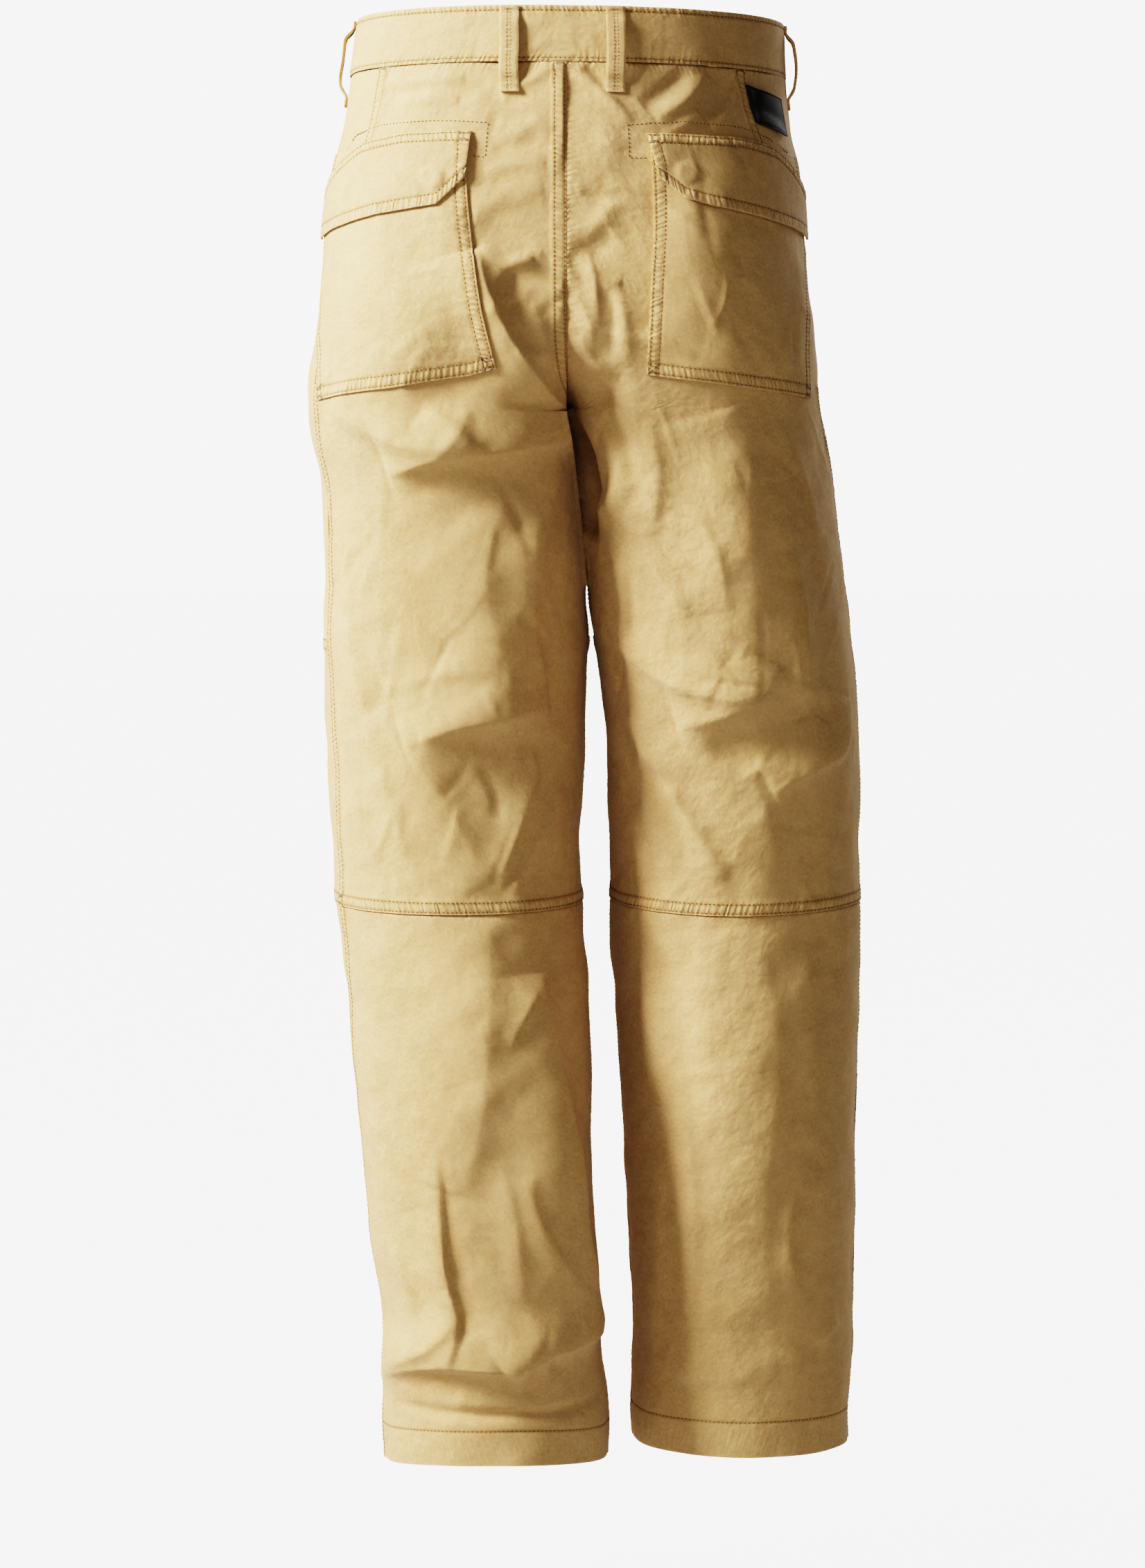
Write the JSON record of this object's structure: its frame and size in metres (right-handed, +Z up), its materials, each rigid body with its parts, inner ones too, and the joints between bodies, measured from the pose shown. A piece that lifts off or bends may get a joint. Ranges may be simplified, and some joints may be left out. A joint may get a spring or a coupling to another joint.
{
  "type": "cargo trousers",
  "caption": "Straight-leg cotton cargo trousers in their worn form, with flapped hip pockets over the side seams, knee seams, belt loops and turned hems.",
  "frame": {"origin": "middle of the waist opening, level with the top edge of the waistband, where the wearer's waist holds the trousers", "axes": "+Z up, the front faces -Y, the wearer's left is +X"},
  "size_m": [0.3966, 0.2414, 1.027],
  "materials": {
    "panel_cloth": "matt, washed cotton twill",
    "pocket_cloth": "matt, washed cotton twill",
    "trim_cloth": "matt, washed cotton twill, puckered at its stitching",
    "label": "matt woven label, bare",
    "button": "satin"
  },
  "bodies": {
    "root": {"back_upper_left": "panel_cloth", "back_lower_left": "panel_cloth", "front_upper_left": "panel_cloth", "front_knee_left": "panel_cloth", "front_lower_left": "panel_cloth", "back_upper_right": "panel_cloth", "back_lower_right": "panel_cloth", "front_upper_right": "panel_cloth", "front_knee_right": "panel_cloth", "front_lower_right": "panel_cloth", "hip_pocket_left": "pocket_cloth", "hip_pocket_right": "pocket_cloth", "pocket_flap_left": "trim_cloth", "pocket_flap_right": "trim_cloth", "belt_loop_back_left": "trim_cloth", "belt_loop_back_right": "trim_cloth", "belt_loop_side_left": "trim_cloth", "belt_loop_side_right": "trim_cloth", "belt_loop_front_left": "trim_cloth", "belt_loop_front_right": "trim_cloth", "waistband": "trim_cloth", "fly": "panel_cloth", "label_patch": "label", "waist_button": "button"}
  },
  "joints": []
}
